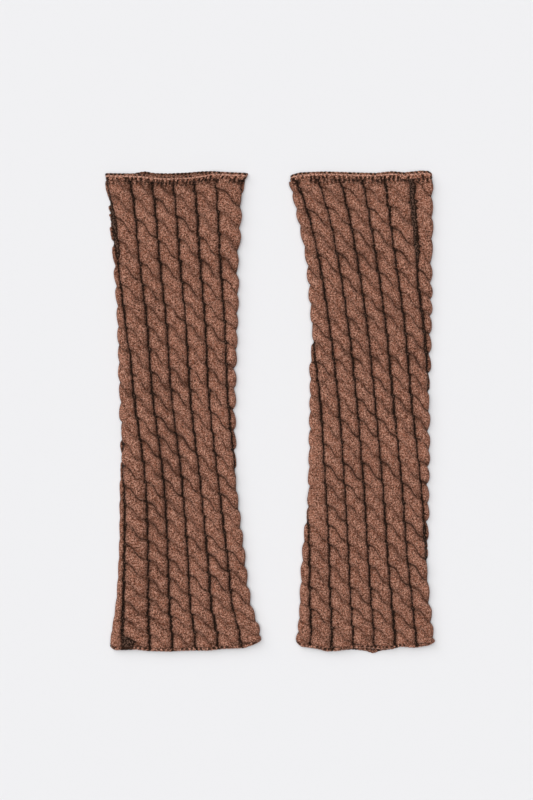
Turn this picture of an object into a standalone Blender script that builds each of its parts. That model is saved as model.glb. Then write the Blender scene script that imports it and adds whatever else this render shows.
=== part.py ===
# A pair of cable-knitted leg warmers, laid flat side by side.
# Each leg is one knitted tube, open at both ends and pressed flat: a plain back layer that lies on
# the surface, a front layer whose outer side carries the rope cables, and a fold down each side.
# A narrow welt finishes the top of the tube and a thin cast-off edge finishes the bottom.
# X runs across the pair, Y up the legs and Z away from the surface. The origin is under the
# middle of the pair, on the surface that it lies on.

import bpy
import numpy as np

MM = 0.001

# The cloth, through its thickness
CHANNEL_WALL = 1.7 * MM  # front layer in the thin channel between two cables
CABLE_RISE = 3.2 * MM  # a cable's crest above its channels
BACK_WALL = 2.2 * MM  # back layer, its cables pressed flat by the surface
LAYER_GAP = 1.0 * MM  # air between the two layers
SEAM_GAP = 0.3 * MM  # between the tube and its welt or edge
WALLS_HIGH = BACK_WALL + LAYER_GAP + CHANNEL_WALL
EDGE_STAND = 1.1 * MM  # how far the cables carry the outline past the channels at a fold

# The legs
LEG_LENGTH = 418 * MM
LEG_BOTTOM = -209.6 * MM  # where the hem lies
WELT_HEIGHT = 5.5 * MM
WELT_RISE = 0.9 * MM
EDGE_HEIGHT = 2.8 * MM
EDGE_RISE = 0.6 * MM

# The knit
CABLES_AROUND = 12
CABLE_ROUNDNESS = 0.6  # lower is squarer
CROSSING_DEPTH = 0.6  # of the cable's rise, in the groove between two crossings
CROSSING_WIDTH = 1.5  # higher is narrower
CROSSING_START = 0.05  # in crossings: how far below a whole one its groove leaves the left channel
END_FLATTENING = 0.35  # of the cable's rise, where the welt and the edge hold it down
END_RUN = 8 * MM
UNDER_FADE = 0.7  # how far past the middle of a fold the cables still stand up

# Points along a cable, and across each half of it as shares of its width. The cables that turn
# round a fold have more.
ROWS_PER_CROSSING = 4
LEAST_ROW = 1.5 * MM
FRONT_HALF = (0.0, 0.2)
FOLD_HALF = (0.0, 0.13, 0.32)
OTHER_HALF = {FRONT_HALF: (0.5, 0.8), FOLD_HALF: (0.5, 0.68, 0.87)}
FOLD_REACH = 0.3  # of a cable, to each side of where the fold is

# Sections of each leg. up: above the hem. left, right: the outline there, across the pair.
# turn: how many cables have gone round the left fold. front: how many the front shows.
# crossings: how many crossings a cable has made.
SECTION_COLUMNS = ("up", "left", "right", "turn", "front", "crossings")
LEFT_SECTIONS = (
    (0 * MM, -140.2 * MM, -7.2 * MM, 1.71, 6.53, 0.76),
    (19 * MM, -138.4 * MM, -8.8 * MM, 1.59, 6.48, 1.94),
    (37 * MM, -135.8 * MM, -14.7 * MM, 1.50, 6.41, 3.08),
    (81 * MM, -132.7 * MM, -21.9 * MM, 1.42, 6.27, 5.71),
    (151 * MM, -131.7 * MM, -28.4 * MM, 1.34, 6.37, 9.78),
    (221 * MM, -131.1 * MM, -30.4 * MM, 0.77, 6.09, 13.54),
    (291 * MM, -133.5 * MM, -28.6 * MM, 0.44, 6.05, 17.10),
    (343 * MM, -137.1 * MM, -27.3 * MM, 0.28, 6.19, 19.90),
    (378 * MM, -140.2 * MM, -25.6 * MM, 0.25, 6.34, 21.73),
    (397 * MM, -142.0 * MM, -22.8 * MM, 0.20, 6.42, 22.71),
    (411 * MM, -144.4 * MM, -20.2 * MM, 0.16, 6.45, 23.45),
    (418 * MM, -144.6 * MM, -20.0 * MM, 0.14, 6.46, 23.82),
)
RIGHT_SECTIONS = (
    (0 * MM, 22.4 * MM, 144.6 * MM, 2.63, 6.44, 0.85),
    (19 * MM, 24.6 * MM, 142.9 * MM, 2.54, 6.37, 1.90),
    (44 * MM, 26.0 * MM, 139.6 * MM, 2.41, 6.27, 3.28),
    (81 * MM, 27.9 * MM, 138.2 * MM, 2.32, 6.38, 5.17),
    (151 * MM, 33.8 * MM, 138.1 * MM, 1.83, 6.22, 9.09),
    (221 * MM, 34.2 * MM, 139.2 * MM, 1.47, 6.46, 12.76),
    (291 * MM, 35.4 * MM, 141.1 * MM, 0.90, 6.31, 16.71),
    (343 * MM, 31.1 * MM, 141.6 * MM, 0.62, 6.47, 19.56),
    (378 * MM, 23.9 * MM, 142.9 * MM, 0.52, 6.61, 21.34),
    (397 * MM, 20.6 * MM, 142.9 * MM, 0.38, 6.52, 22.42),
    (411 * MM, 17.7 * MM, 142.9 * MM, 0.26, 6.43, 23.19),
    (418 * MM, 17.4 * MM, 142.4 * MM, 0.19, 6.38, 23.59),
)

# How each leg's ends lie. across: from -1 at the left fold to 1 at the right fold.
# front, back: how far each layer's rim lies up the leg from the straight line of its end.
END_COLUMNS = ("across", "front", "back")
LEFT_HEM = (
    (-1.0, 2.6 * MM, 2.6 * MM),
    (-0.93, 0.6 * MM, 0.8 * MM),
    (-0.8, 2.2 * MM, 2.2 * MM),
    (-0.66, 2.3 * MM, 2.4 * MM),
    (-0.5, 0.4 * MM, 0.8 * MM),
    (-0.2, -0.4 * MM, 0.2 * MM),
    (-0.1, 0.6 * MM, 0.8 * MM),
    (0.1, -0.4 * MM, 0.3 * MM),
    (0.3, 0.9 * MM, 1.2 * MM),
    (0.6, 1.2 * MM, 1.6 * MM),
    (0.77, 2.8 * MM, 2.9 * MM),
    (0.9, 6.4 * MM, 6.4 * MM),
    (1.0, 9.6 * MM, 9.6 * MM),
)
LEFT_MOUTH = (
    (-1.0, 0.3 * MM, 0.3 * MM),
    (-0.6, -0.2 * MM, 0.4 * MM),
    (-0.44, -1.0 * MM, 2.2 * MM),
    (-0.3, -2.2 * MM, 0.6 * MM),
    (-0.1, -2.9 * MM, 0.4 * MM),
    (0.15, -2.3 * MM, 1.1 * MM),
    (0.35, -0.7 * MM, 2.2 * MM),
    (0.5, 1.9 * MM, 2.4 * MM),
    (0.7, 1.1 * MM, 1.0 * MM),
    (1.0, 0.4 * MM, 0.4 * MM),
)
RIGHT_HEM = (
    (-1.0, 8.0 * MM, 8.0 * MM),
    (-0.92, 4.8 * MM, 4.8 * MM),
    (-0.7, 3.3 * MM, 3.4 * MM),
    (-0.56, 1.2 * MM, 1.6 * MM),
    (-0.4, 1.8 * MM, 1.8 * MM),
    (-0.18, 3.4 * MM, 1.8 * MM),
    (0.0, 3.8 * MM, 0.9 * MM),
    (0.11, 3.4 * MM, -1.0 * MM),
    (0.22, 2.3 * MM, 0.8 * MM),
    (0.4, 2.4 * MM, 1.6 * MM),
    (0.5, 3.8 * MM, 3.4 * MM),
    (0.7, 2.5 * MM, 2.6 * MM),
    (1.0, 6.0 * MM, 6.0 * MM),
)
RIGHT_MOUTH = (
    (-1.0, -1.6 * MM, -1.6 * MM),
    (-0.85, 0.9 * MM, 0.6 * MM),
    (-0.5, 1.7 * MM, 1.4 * MM),
    (-0.1, 0.9 * MM, 0.7 * MM),
    (0.2, 0.4 * MM, 0.2 * MM),
    (0.43, 1.9 * MM, 1.5 * MM),
    (0.6, 0.9 * MM, 0.7 * MM),
    (0.83, 2.5 * MM, 2.2 * MM),
    (0.94, 2.1 * MM, 2.0 * MM),
    (1.0, 0.0 * MM, 0.0 * MM),
)
END_REACH = 45 * MM  # how far along the leg the shape of an end carries
LEFT_MOUTH_LIFT = 1.6 * MM  # how far the front stands off the back at the mouth
RIGHT_MOUTH_LIFT = 0.6 * MM

# Points of the plain surfaces
UNDERSIDE_POINTS = 3
INSIDE_FLAT_PARTS = 10
INSIDE_ROWS = 14
FOLD_SHARE = 0.002  # of the way round, from the middle of a fold inside to a flat

WOOL_COLOUR = (0.235, 0.115, 0.078, 1.0)
WELT_COLOUR = (0.165, 0.085, 0.06, 1.0)


def section_at(sections, up):
    """The outline and the knit at the heights up, on smooth curves through the table's rows."""
    table = np.array(sections)
    heights = table[:, 0]
    slopes = np.gradient(table[:, 1:], heights, axis=0)
    row = np.clip(np.searchsorted(heights, up, side="right") - 1, 0, len(heights) - 2)
    step = heights[row + 1] - heights[row]
    share = np.clip((up - heights[row]) / step, 0.0, 1.0)
    value = {}
    for number, name in enumerate(SECTION_COLUMNS[1:]):
        low, high = table[row, number + 1], table[row + 1, number + 1]
        bend_low, bend_high = slopes[row, number] * step, slopes[row + 1, number] * step
        value[name] = (
            low * (1 + 2 * share) * (1 - share) ** 2
            + bend_low * share * (1 - share) ** 2
            + high * share**2 * (3 - 2 * share)
            + bend_high * share**2 * (share - 1)
        )
    return value


def flat_loop(width, height, around):
    """A loop of two flats joined by two half-round folds. around is 0 at the left fold, 0.5 at
    the right fold by way of the top, and 1 at the left fold again. Gives x, z and the normal."""
    bend = height / 2
    flat = width - height
    quarter = np.pi * bend / 2
    half = flat + 2 * quarter
    under = around >= 0.5
    along = np.where(under, around - 0.5, around) * 2 * half
    left_turn = np.minimum(along, quarter) / bend
    right_turn = np.maximum(along - quarter - flat, 0.0) / bend
    on_flat = np.clip(along - quarter, 0.0, flat)
    x = -width / 2 + bend * (1 - np.cos(left_turn)) + on_flat + bend * np.sin(right_turn)
    z = bend * (np.sin(left_turn) + np.cos(right_turn))
    across = np.sin(right_turn) - np.cos(left_turn)
    upward = np.sin(left_turn) + np.cos(right_turn) - 1
    side = np.where(under, -1.0, 1.0)
    return side * x, height / 2 + side * (z - height / 2), side * across, side * upward


def near_end(distance):
    """How fully the cloth at this distance from an end follows the shape of that end."""
    return np.clip(1 - distance / END_REACH, 0.0, 1.0) ** 2


def end_shape(shape, across, front):
    """How far up the leg the rim of an end lies. front is 1 on the front layer and 0 on the back."""
    table = np.array(shape)
    front_rim = np.interp(across, table[:, 0], table[:, 1])
    back_rim = np.interp(across, table[:, 0], table[:, 2])
    return back_rim + (front_rim - back_rim) * front


def place(leg, around, up, rise, inside=False):
    """The points of a leg's cloth: around the tube, up the leg, and raised off the plain wall."""
    section = section_at(leg["sections"], up)
    outline = section["right"] - section["left"]
    centre = (section["right"] + section["left"]) / 2
    width = outline - 2 * EDGE_STAND
    height = WALLS_HIGH
    base = 0.0
    if inside:
        width = width - 2 * CHANNEL_WALL
        height = LAYER_GAP
        base = BACK_WALL
    x, z, out_x, out_z = flat_loop(width, height, around)
    front = np.clip(out_z, 0.0, 1.0)
    x = x + rise * out_x
    across = x / (outline / 2)
    hem = near_end(up) * end_shape(leg["hem"], across, front)
    mouth = near_end(LEG_LENGTH - up) * end_shape(leg["mouth"], across, front)
    y = LEG_BOTTOM + up + hem + mouth
    lift = leg["mouth_lift"] * near_end(LEG_LENGTH - up) * front * np.clip(1 - across**2, 0.0, 1.0)
    z = base + z + rise * out_z + lift
    return np.stack([centre + x, y, np.maximum(z, 0.0)], axis=-1)


def around_of(section, cable):
    """Where a place counted in cables lies around the tube, with 0 at the left fold."""
    shown = cable + section["turn"]
    front = section["front"]
    over = np.clip(shown / front, 0.0, 1.0) / 2
    beyond = np.maximum(shown - front, 0.0) / (CABLES_AROUND - front) / 2
    before = np.minimum(shown, 0.0) / (CABLES_AROUND - front) / 2
    return over + beyond + before


def cable_columns(leg):
    """The places of the columns of points round the tube, counted in cables."""
    table = np.array(leg["sections"])
    left_folds, right_folds = -table[:, 3], table[:, 4] - table[:, 3]
    first, last = left_folds.min() - FOLD_REACH, right_folds.max() + FOLD_REACH
    places = []
    for cable in range(int(np.floor(first)), int(np.ceil(last))):
        for half in (0, 1):
            middle = cable + 0.25 + 0.5 * half
            by_left = middle < left_folds.max() + FOLD_REACH
            folded = by_left or middle > right_folds.min() - FOLD_REACH
            points = FOLD_HALF if folded else FRONT_HALF
            points = OTHER_HALF[points] if half else points
            places += [cable + share for share in points if first <= cable + share <= last]
    hidden = CABLES_AROUND - (places[-1] - places[0])
    parts = UNDERSIDE_POINTS + 1
    places += [places[-1] + hidden * number / parts for number in range(1, parts)]
    return np.array(places)


def crossing_rows(leg, low, high):
    """Heights that divide each crossing evenly, with one at low and one at high."""
    fine = np.linspace(low, high, 4000)
    passed = section_at(leg["sections"], fine)["crossings"] * ROWS_PER_CROSSING
    whole = np.arange(np.ceil(passed[0]), passed[-1])
    up = np.interp(whole, passed, fine)
    up = up[(up > low + LEAST_ROW) & (up < high - LEAST_ROW)]
    return np.concatenate([[low], up, [high]])


def cable_rise(leg, place_in_cables, up):
    """The height of the rope cables over their channels: a round crest across each cable, with a
    groove at each crossing that slants down from left to right."""
    share = np.mod(place_in_cables, 1.0)
    crest = np.clip(1 - (2 * share - 1) ** 2, 0.0, 1.0) ** CABLE_ROUNDNESS
    crossing = section_at(leg["sections"], up)["crossings"] + share + CROSSING_START
    groove = (0.5 + 0.5 * np.cos(2 * np.pi * crossing)) ** CROSSING_WIDTH
    end = np.clip(np.minimum(up, LEG_LENGTH - up) / END_RUN, 0.0, 1.0)
    held = END_FLATTENING + (1 - END_FLATTENING) * np.sin(end * np.pi / 2)
    return CABLE_RISE * crest * held * (1 - CROSSING_DEPTH * groove)


def loop_faces(rows, count, start):
    """Triangles between rings of equal count, each square cut along the slant of the crossings."""
    faces = []
    for row in range(rows - 1):
        for column in range(count):
            here = start + row * count + column
            beside = start + row * count + (column + 1) % count
            over_here, over_beside = here + count, beside + count
            faces.append((here, beside, over_here))
            faces.append((beside, over_beside, over_here))
    return faces


def from_left_fold(places):
    """The order that takes a ring's points from the left fold round, and where they then lie."""
    around = np.mod(places, 1.0)
    order = np.roll(np.arange(len(around)), -int(np.argmin(around)))
    return order, np.append(around[order], around.min() + 1)


def rim_faces(outer_places, outer_start, inner_places, inner_start, top):
    """Triangles that close the wall between an outer and an inner ring of unlike counts."""
    outer, outer_around = from_left_fold(outer_places)
    inner, inner_around = from_left_fold(inner_places)
    faces = []
    a, b = 0, 0
    while a < len(outer) or b < len(inner):
        here = outer_start + int(outer[a % len(outer)])
        there = inner_start + int(inner[b % len(inner)])
        along_outer = b == len(inner) or (
            a < len(outer) and outer_around[a + 1] <= inner_around[b + 1]
        )
        if along_outer:
            a += 1
            face = (here, outer_start + int(outer[a % len(outer)]), there)
        else:
            b += 1
            face = (here, inner_start + int(inner[b % len(inner)]), there)
        faces.append(face if top else face[::-1])
    return faces


def inside_places():
    """Places around the inner side of the tube: three at each fold and a few on each flat, which
    come closer together toward the folds."""
    share = (1 - np.cos(np.linspace(0.0, np.pi, INSIDE_FLAT_PARTS + 1))) / 2
    top = FOLD_SHARE + (0.5 - 2 * FOLD_SHARE) * share
    return np.concatenate([[0.0], top, [0.5], 0.5 + top])


def wall(name, leg, outer, inner, material):
    """A closed wall: outer rings, inner rings and a rim at each end, as one object."""
    outer_rings, outer_around = outer
    inner_rings, inner_around = inner
    outer_rows, outer_count = outer_rings.shape[:2]
    inner_rows, inner_count = inner_rings.shape[:2]
    points = np.concatenate([outer_rings.reshape(-1, 3), inner_rings.reshape(-1, 3)])
    inner_start = outer_rows * outer_count
    last_outer = (outer_rows - 1) * outer_count
    last_inner = inner_start + (inner_rows - 1) * inner_count
    faces = loop_faces(outer_rows, outer_count, 0)
    faces += [face[::-1] for face in loop_faces(inner_rows, inner_count, inner_start)]
    faces += rim_faces(outer_around[0], 0, inner_around, inner_start, False)
    faces += rim_faces(outer_around[-1], last_outer, inner_around, last_inner, True)
    mesh = bpy.data.meshes.new(name)
    mesh.from_pydata(points.tolist(), [], faces)
    mesh.validate()
    mesh.shade_smooth()
    mesh.set_sharp_from_angle(angle=np.radians(60))
    mesh.materials.append(material)
    piece = bpy.data.objects.new(name, mesh)
    leg["collection"].objects.link(piece)
    piece.parent = leg["empty"]
    return piece


def rings_of(leg, columns, up, rise):
    """Rings of the outer side, one for each height in up, and where their points lie around."""
    heights = up[:, None]
    section = section_at(leg["sections"], heights)
    around = around_of(section, columns[None, :])
    wrapped = np.mod(around, 1.0)
    outline = section["right"] - section["left"]
    normal_up = flat_loop(outline - 2 * EDGE_STAND, WALLS_HIGH, wrapped)[3]
    shown = np.clip((normal_up + UNDER_FADE) / UNDER_FADE, 0.0, 1.0) ** 2
    rings = place(leg, wrapped, np.broadcast_to(heights, wrapped.shape), rise * shown)
    return rings, around


def inside_rings(leg, up):
    """Rings of the plain inner side, one for each height in up, and where their points lie."""
    around = inside_places()
    heights = np.broadcast_to(up[:, None], (len(up), len(around)))
    return place(leg, around[None, :], heights, 0.0, inside=True), around


def knitted_tube(leg, wool):
    """The leg itself, with its cables raised on the front and round both folds."""
    low, high = EDGE_HEIGHT + SEAM_GAP, LEG_LENGTH - WELT_HEIGHT - SEAM_GAP
    columns = cable_columns(leg)
    up = crossing_rows(leg, low, high)
    rise = cable_rise(leg, columns[None, :], up[:, None])
    outer = rings_of(leg, columns, up, rise)
    inner = inside_rings(leg, np.linspace(low, high, INSIDE_ROWS + 1))
    wall(leg["name"] + "_tube", leg, outer, inner, wool)


def knitted_rim(leg, name, low, high, rise, material):
    """A narrow band that finishes one end of the tube, rounded outward across its height."""
    swell = np.array([[0.5], [1.0], [0.5]]) * rise
    outer = rings_of(leg, cable_columns(leg), np.linspace(low, high, 3), swell)
    inner = inside_rings(leg, np.array([low, high]))
    wall(leg["name"] + name, leg, outer, inner, material)


def knitted_material(name, colour):
    """Matt wool."""
    material = bpy.data.materials.new(name)
    material.use_nodes = True
    shader = material.node_tree.nodes["Principled BSDF"]
    shader.inputs["Base Color"].default_value = colour
    shader.inputs["Roughness"].default_value = 0.92
    shader.inputs["Metallic"].default_value = 0.0
    return material


def leg_warmer(leg, collection, wool, welt):
    """One leg: the tube, its welt and its cast-off edge."""
    leg["collection"] = collection
    leg["empty"] = bpy.data.objects.new(leg["name"] + "_leg", None)
    collection.objects.link(leg["empty"])
    knitted_tube(leg, wool)
    knitted_rim(leg, "_top_welt", LEG_LENGTH - WELT_HEIGHT, LEG_LENGTH, WELT_RISE, welt)
    knitted_rim(leg, "_cast_off_edge", 0.0, EDGE_HEIGHT, EDGE_RISE, welt)


def main():
    for old in list(bpy.data.objects):
        bpy.data.objects.remove(old)
    collection = bpy.data.collections.new("knitted_leg_warmers")
    bpy.context.scene.collection.children.link(collection)
    wool = knitted_material("wool", WOOL_COLOUR)
    welt = knitted_material("welt_wool", WELT_COLOUR)
    left = {"name": "left", "sections": LEFT_SECTIONS, "hem": LEFT_HEM,
            "mouth": LEFT_MOUTH, "mouth_lift": LEFT_MOUTH_LIFT}
    right = {"name": "right", "sections": RIGHT_SECTIONS, "hem": RIGHT_HEM,
             "mouth": RIGHT_MOUTH, "mouth_lift": RIGHT_MOUTH_LIFT}
    leg_warmer(left, collection, wool, welt)
    leg_warmer(right, collection, wool, welt)


main()
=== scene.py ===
from math import pi, radians

import bpy
import numpy as np
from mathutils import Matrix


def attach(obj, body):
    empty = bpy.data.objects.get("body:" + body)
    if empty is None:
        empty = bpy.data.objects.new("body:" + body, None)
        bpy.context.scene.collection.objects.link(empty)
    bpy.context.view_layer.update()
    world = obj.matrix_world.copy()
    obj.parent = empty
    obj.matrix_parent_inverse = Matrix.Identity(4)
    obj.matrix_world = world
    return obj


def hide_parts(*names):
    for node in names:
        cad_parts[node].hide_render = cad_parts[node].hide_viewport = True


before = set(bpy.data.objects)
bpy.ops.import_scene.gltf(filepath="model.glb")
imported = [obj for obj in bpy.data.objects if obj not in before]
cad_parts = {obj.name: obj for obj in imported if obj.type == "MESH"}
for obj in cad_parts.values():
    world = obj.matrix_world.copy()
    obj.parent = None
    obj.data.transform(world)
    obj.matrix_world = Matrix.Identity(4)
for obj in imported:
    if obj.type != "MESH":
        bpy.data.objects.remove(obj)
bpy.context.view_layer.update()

# A pair of cable-knit leg warmers lying flat: +X across, +Y up the legs, +Z toward the camera.
mm = 0.001

# the cloth, as in the solids that these pieces replace
cloth = {
    "channelWall": 1.7 * mm,
    "backWall": 2.2 * mm,
    "layerGap": 1.0 * mm,
    "edgeStand": 2.8 * mm,  # how far the cables carry the outline past the channels at a fold
    "seamGap": 0.3 * mm,
    "seamReach": 0.24 * mm,  # how far a band reaches into the gap at its seam
    "length": 418 * mm,
    "bottom": -209.6 * mm,
    "weltHeight": 5.5 * mm,
    "castOffHeight": 2.8 * mm,
    "endReach": 45 * mm,  # how far from an end of the leg its curve is felt
    "creaseShade": 0.2,  # painted shade in a crease: how much darker it is, for each mm of its depth
    "bandShade": 0.2,  # painted shade: how much darker the cables are right beside a band
    "bandShadeReach": 1.3 * mm,
}
cloth["height"] = cloth["backWall"] + cloth["layerGap"] + cloth["channelWall"]

# the cables: change these for a deeper, looser or rounder twist
cables = {
    "around": 12,
    "pitch": 18.5 * mm,
    "rise": 3.4 * mm,
    "crestPower": 3.0,  # higher is a squarer crest across the cable
    "crestRound": 0.6,
    "grooveDepth": 0.84,  # share of the rise that a groove between two crossings takes
    "depthAtLeft": 1.1,  # share of that depth at the channel on the cable's left
    "depthLost": 0.28,  # how much of that share is lost by the channel on its right
    "lobePower": 2.0,
    "lobeRound": 0.85,
    "overlap": 0.45,  # how much steeper a strand is where it lies over the other one
    "unevenness": 0.16,  # of the lobes' fullness
    "depthVariety": 0.35,  # of the grooves' depth
    "slipVariety": 0.03,  # of the crossings' places along a cable, in crossings
    "channelHalf": 0.036,  # of the cable's width
    "channelVariety": 0.5,  # slow changes of that width
    "channelRagged": 0.4,  # quick changes of it, about two stitches long
    "jog": 0.037,  # how far a channel steps aside at a crossing, in cables
    "jogRound": 0.75,  # nearer to 1 is a sharper step
    "jogPlace": 0.10,  # in crossings
    "wander": 0.010,  # in cables
    "stretchEnd": 14 * mm,  # the soft ends of a bend, of a wide channel and of a calm stretch
    "pinch": 0.050,  # how far a channel widens where a groove leaves it
    "pinchReach": 0.07,  # in crossings
    "strandSlope": 52.0,  # degrees, the way that the stitches run down a strand
    "waleWidth": 1.45 * mm,
    "stitchHeight": 0.95 * mm,
    "pressedDepth": 0.7 * mm,  # the channels' depth where the surface presses the cables flat
    "endRun": 7 * mm,  # the run from a band on which the cables reach their full rise
    "endHold": 0.5,  # share of the rise that is left right beside a band
}

# One dictionary a leg, with lengths in mm and cables counted from the one at the left fold's top.
# sections: up, left, right, then turn and front in cables, and the crossings passed
# hem and mouth: across from -1 to 1, then how far the front's and the back's rim lie up the leg
# slips: for a cable, how far its crossings run ahead of the leg's at crossings 2, 6, 10, 14, 18, 22
# creases: from x, up to x, up, then width and depth; a depth below 0 is a ridge
# bends: channel, from, to, and how far it lies to the right in cables
# wideChannels: channel, from, to, and what it adds to the half width on its left and its right
# calm: cable, from, to, and the share of its grooves' depth that is lost
leftLeg = {
    "name": "left",
    "sections": np.array((
        (0, -139.5, -6.8, 1.71, 6.53, 0.76),
        (19, -137.3, -8.1, 1.59, 6.48, 1.94),
        (37, -134.8, -13.2, 1.50, 6.41, 3.08),
        (81, -131.8, -20.2, 1.42, 6.27, 5.71),
        (151, -131.0, -26.9, 1.34, 6.37, 9.78),
        (221, -131.8, -29.6, 0.77, 6.09, 13.54),
        (291, -133.1, -27.5, 0.44, 6.05, 17.10),
        (343, -137.3, -25.7, 0.28, 6.19, 19.90),
        (378, -140.7, -23.8, 0.25, 6.34, 21.73),
        (397, -142.3, -22.1, 0.20, 6.42, 22.71),
        (411, -144.4, -20.6, 0.16, 6.45, 23.45),
        (418, -144.6, -17.4, 0.14, 6.46, 23.82),
    )),
    "hem": np.array((
        (-1.0, 5.0, 5.0), (-0.93, 2.6, 2.8), (-0.8, 2.6, 2.6), (-0.66, 3.0, 3.1),
        (-0.5, 1.8, 2.2), (-0.2, 1.2, 1.6), (-0.1, 1.8, 2.0), (0.1, 2.2, 2.6), (0.3, 2.1, 2.4),
        (0.5, 3.6, 3.9), (0.6, 3.8, 4.0), (0.77, 4.4, 4.5), (0.9, 7.4, 7.4), (1.0, 10.8, 10.8),
    )),
    "mouth": np.array((
        (-1.0, 0.3, 0.3), (-0.6, -0.2, 0.4), (-0.44, -1.0, 2.2), (-0.3, -2.2, 0.6),
        (-0.1, -2.9, 0.4), (0.15, -2.3, 1.1), (0.35, -0.7, 2.2), (0.5, 1.9, 2.4),
        (0.7, 1.1, 1.0), (1.0, 0.4, 0.4),
    )),
    "mouthLift": 1.6 * mm,  # how far the mouth's front rim stands up in its middle
    "lean": 0.32,  # lower gives strands that hook more sharply at the channels
    "strandStart": 0.56,  # added to the crossings passed, it gives the strand in a cable's middle
    "slips": {
        -2: (0.50, 0.29, 0.23, 0.30, 0.35, 0.40), -1: (0.25, 0.27, 0.34, 0.34, 0.47, 0.50),
        0: (0.15, 0.18, 0.17, 0.16, 0.12, 0.02), 1: (0.06, 0.08, 0.05, 0.06, 0.10, 0.12),
        2: (-0.02, -0.09, -0.06, -0.12, 0.07, 0.14), 3: (0.07, -0.15, -0.06, -0.13, 0.00, -0.01),
        4: (-0.28, -0.34, -0.16, -0.11, 0.02, -0.12), 5: (-0.40, -0.40, -0.42, -0.33, -0.10, -0.25),
    },
    "creases": (
        (-130, 224, -68, 235, 7, 1.25), (-88, 334, -32, 340, 8, 0.88), (-99, 341, -98, 269, 9, 1),
        (-113, 304, -113, 282, 6, 0.75), (-86, 194, -105, 46, 16, 1), (-114, 405, -70, 409, 9, 1),
        (-105, 189, -75, 185, 6, 0.62), (-118, 201, -108, 199, 9, -0.62), (-80, 298, -66, 302, 9, -0.75),
        (-60, 215, -48, 198, 9, -0.62), (-60, 364, -50, 356, 9, -0.62),
    ),
    "creasesUnder": (
        (-125, 300, -60, 292, 8, 0.75), (-70, 362, -40, 350, 9, 0.62), (-110, 240, -45, 226, 7, 0.88),
        (-95, 170, -100, 60, 14, 0.75), (-60, 130, -35, 122, 8, 0.62), (-120, 95, -88, 102, 7, 0.62),
    ),
    "bends": (
        (0, 380, 440, -0.09), (0, 262, 350, -0.11), (-1, -40, 182, -0.25), (6, 345, 450, 0.22),
    ),
    "wideChannels": ((0, 340, 402, 0.15, 0.02), (-1, -20, 150, 0.02, 0.03), (-1, -30, 18, 0.0, 0.46)),
    "calm": ((-2, -40, 205, 0.75), (-1, 180, 300, 0.3)),
    "seed": 3,
}
rightLeg = {
    "name": "right",
    "sections": np.array((
        (0, 22.8, 145.0, 2.63, 6.44, 0.85),
        (19, 25.1, 143.6, 2.54, 6.37, 1.90),
        (44, 26.5, 141.4, 2.41, 6.27, 3.28),
        (81, 28.2, 140.0, 2.32, 6.38, 5.17),
        (151, 33.5, 139.6, 1.83, 6.22, 9.09),
        (221, 35.2, 141.0, 1.47, 6.46, 12.76),
        (291, 35.3, 142.0, 0.90, 6.31, 16.71),
        (343, 31.6, 142.2, 0.62, 6.47, 19.56),
        (378, 24.7, 143.2, 0.52, 6.61, 21.34),
        (397, 20.7, 143.4, 0.38, 6.52, 22.42),
        (411, 17.1, 143.7, 0.26, 6.43, 23.19),
        (418, 17.4, 142.8, 0.19, 6.38, 23.59),
    )),
    "hem": np.array((
        (-1.0, 9.5, 9.5), (-0.92, 5.6, 5.6), (-0.7, 3.7, 3.8), (-0.56, 1.4, 1.8),
        (-0.4, 1.8, 1.8), (-0.18, 4.2, 2.8), (0.0, 4.6, 1.6), (0.11, 3.9, -0.6), (0.22, 3.2, 1.8),
        (0.4, 4.0, 3.2), (0.5, 5.6, 5.2), (0.7, 4.6, 4.7), (0.9, 6.6, 6.6), (1.0, 9.6, 9.6),
    )),
    "mouth": np.array((
        (-1.0, -1.6, -1.6), (-0.85, 0.9, 0.6), (-0.5, 1.7, 1.4), (-0.1, 0.9, 0.7),
        (0.2, 0.4, 0.2), (0.43, 1.9, 1.5), (0.6, 0.9, 0.7), (0.83, 2.5, 2.2),
        (0.94, 2.1, 2.0), (1.0, 0.0, 0.0),
    )),
    "mouthLift": 0.6 * mm,
    "lean": 0.32,
    "strandStart": 0.51,
    "slips": {
        -3: (-0.03, 0.10, 0.10, 0.30, 0.40, 0.45), -2: (-0.13, 0.02, 0.12, 0.50, 0.45, 0.45),
        -1: (-0.13, 0.04, 0.11, 0.28, 0.40, 0.50), 0: (-0.18, 0.01, 0.04, 0.12, 0.15, 0.06),
        1: (-0.08, 0.00, 0.03, 0.11, 0.11, 0.00), 2: (0.10, -0.04, -0.01, 0.05, 0.01, 0.02),
        3: (-0.08, -0.13, -0.05, -0.02, -0.09, 0.01), 4: (-0.20, -0.24, -0.05, -0.12, -0.15, -0.07),
        5: (-0.42, -0.42, -0.42, -0.20, -0.20, -0.30),
    },
    "creases": (
        (66, 254, 129, 257, 6, 1.12), (61, 289, 115, 292, 7, 0.88), (70, 345, 92, 344, 9, 1.25),
        (65, 385, 85, 388, 7, 0.62), (76, 161, 99, 163, 8, 1), (78, 130, 96, 133, 7, 0.62),
        (50, 214, 64, 209, 10, 0.5), (108, 388, 118, 384, 9, -0.75), (112, 190, 124, 172, 9, -0.62),
        (36, 252, 46, 244, 8, -0.75), (33, 132, 40, 116, 8, -0.62),
    ),
    "creasesUnder": (
        (50, 330, 110, 322, 8, 0.75), (60, 276, 96, 280, 7, 0.62), (84, 228, 130, 216, 8, 0.88),
        (45, 176, 90, 170, 8, 0.62), (70, 110, 118, 116, 9, 0.75), (96, 372, 120, 366, 7, 0.62),
    ),
    "bends": ((5, 325, 430, 0.12), (6, 345, 445, 0.27)),
    "wideChannels": ((5, 335, 425, 0.0, 0.13), (4, -20, 120, 0.03, 0.03), (5, 250, 335, 0.03, 0.03)),
    "calm": ((-3, -40, 120, 0.4), (-2, 100, 280, 0.35), (-1, 270, 430, 0.2)),
    "seed": 8,
}


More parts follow.
